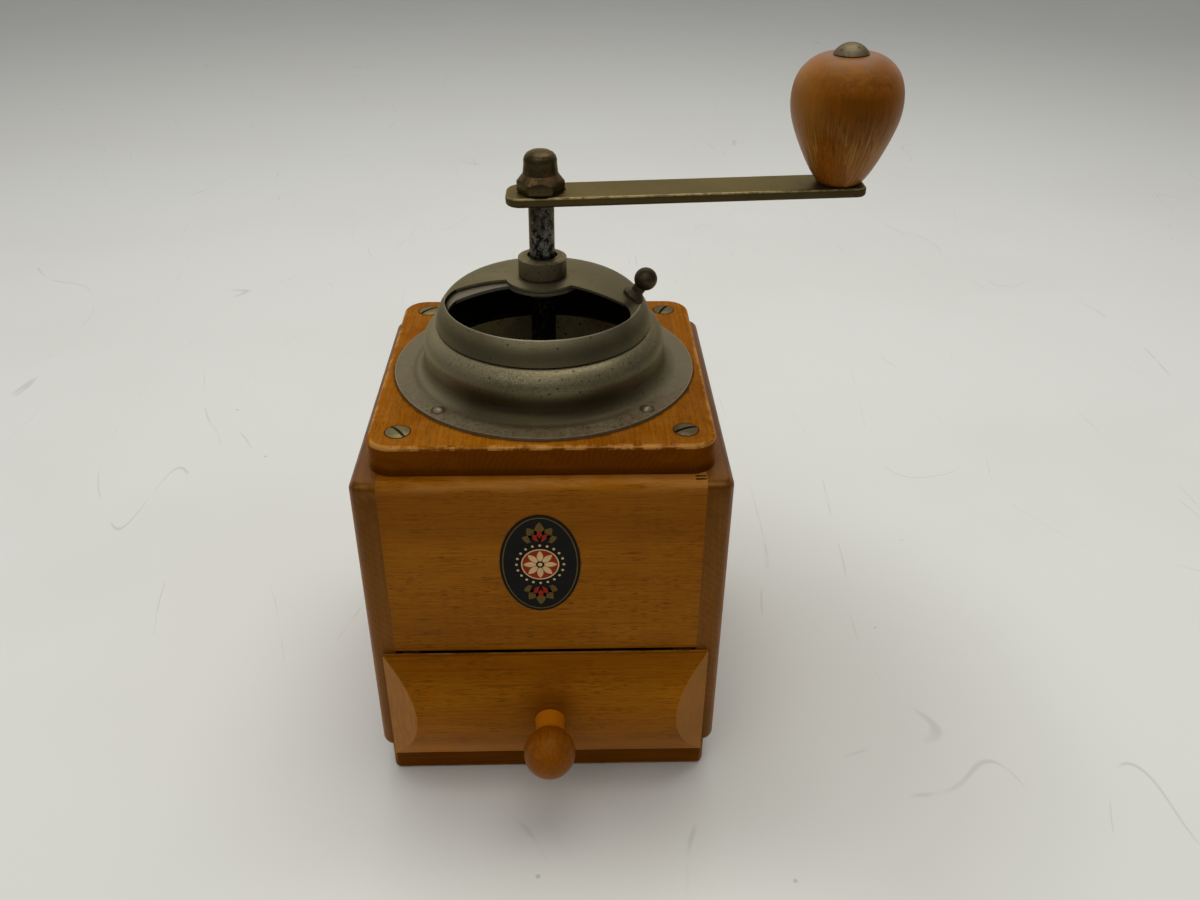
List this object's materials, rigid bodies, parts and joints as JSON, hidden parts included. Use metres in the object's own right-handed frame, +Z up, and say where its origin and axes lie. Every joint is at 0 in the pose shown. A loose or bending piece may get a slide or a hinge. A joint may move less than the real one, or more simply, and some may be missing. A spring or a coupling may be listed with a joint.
{
  "type": "poppy seed mill",
  "caption": "Hand cranked box mill for small seeds: wooden case with a drawer for the meal, domed metal hopper with a turning cover, and a crank arm with a turned wooden knob.",
  "frame": {"origin": "middle of the base plate's underside, which stands on the table", "axes": "+Z up along the shaft, -Y out of the front where the drawer opens, +X to the right along the crank arm at rest"},
  "size_m": [0.1644, 0.1457, 0.2328],
  "materials": {
    "varnished_beech": "worn orange-brown varnish, fine flecked grain",
    "plain_beech": "planed, unvarnished",
    "grip_wood": "turned, varnished and worn",
    "aged_plating": "dull aged plating with speckles and fine rust",
    "bowl_steel": "tinned, rubbed bright",
    "dark_steel": "dark, mottled",
    "burr_iron": "cast and milled",
    "bush_brass": "turned",
    "screw_steel": "dull, slightly rusty",
    "emblem": "printed in black, red, cream and gold"
  },
  "bodies": {
    "case": {"base_plate": "varnished_beech", "base_screws": "screw_steel", "side_board_left": "varnished_beech", "side_board_right": "varnished_beech", "front_panel": "varnished_beech", "back_panel": "varnished_beech", "corner_blocks": "plain_beech", "lid_plate": "varnished_beech", "lid_screws": "screw_steel", "front_label": "emblem", "hopper_dome": "aged_plating", "dome_pins": "screw_steel", "hopper_funnel": "bowl_steel", "burr_ring": "burr_iron", "lower_bridge": "dark_steel", "bridge_screws": "screw_steel", "detent_spring": "bowl_steel", "detent_screw": "screw_steel", "shaft_bush": "bush_brass", "bush_nut": "aged_plating"},
    "cover": {"cover_cap": "aged_plating", "cover_knob": "aged_plating"},
    "drawer": {"drawer_front": "varnished_beech", "drawer_side_left": "plain_beech", "drawer_side_right": "plain_beech", "drawer_back": "plain_beech", "drawer_bottom": "plain_beech", "drawer_knob": "varnished_beech"},
    "thrust": {"thrust_ball": "dark_steel"},
    "rotor": {"main_shaft": "dark_steel", "burr_cone": "burr_iron", "cone_pin": "dark_steel", "crank_arm": "aged_plating", "cap_nut": "aged_plating", "knob_spindle": "dark_steel"},
    "knob": {"crank_knob": "grip_wood"},
    "adjuster": {"adjusting_screw": "dark_steel"}
  },
  "joints": [
    {"name": "cover_turn", "type": "hinge", "parent": "case", "child": "cover", "pos_m": [0, 0, 0.16], "axis": [0, 0, 1], "continuous": true},
    {"name": "drawer_slide", "type": "slide", "parent": "case", "child": "drawer", "axis": [0, -1, 0], "range_m": [0, 0.09]},
    {"name": "adjust_lift", "type": "slide", "parent": "case", "child": "thrust", "axis": [0, 0, 1], "range_m": [0, 0.0012]},
    {"name": "crank_turn", "type": "hinge", "parent": "thrust", "child": "rotor", "pos_m": [0, 0, 0.16], "axis": [0, 0, 1], "continuous": true},
    {"name": "knob_spin", "type": "hinge", "parent": "rotor", "child": "knob", "pos_m": [0.09126, 0, 0.19247], "axis": [-0.0314, 0, 0.9995], "continuous": true},
    {"name": "adjuster_turn", "type": "hinge", "parent": "thrust", "child": "adjuster", "pos_m": [0, 0, 0.06], "axis": [0, 0, 1], "range_deg": [0, 290]}
  ],
  "couplings": [
    {"joint": "adjuster_turn", "follows": "adjust_lift", "rad_per_m": 4188.8}
  ]
}
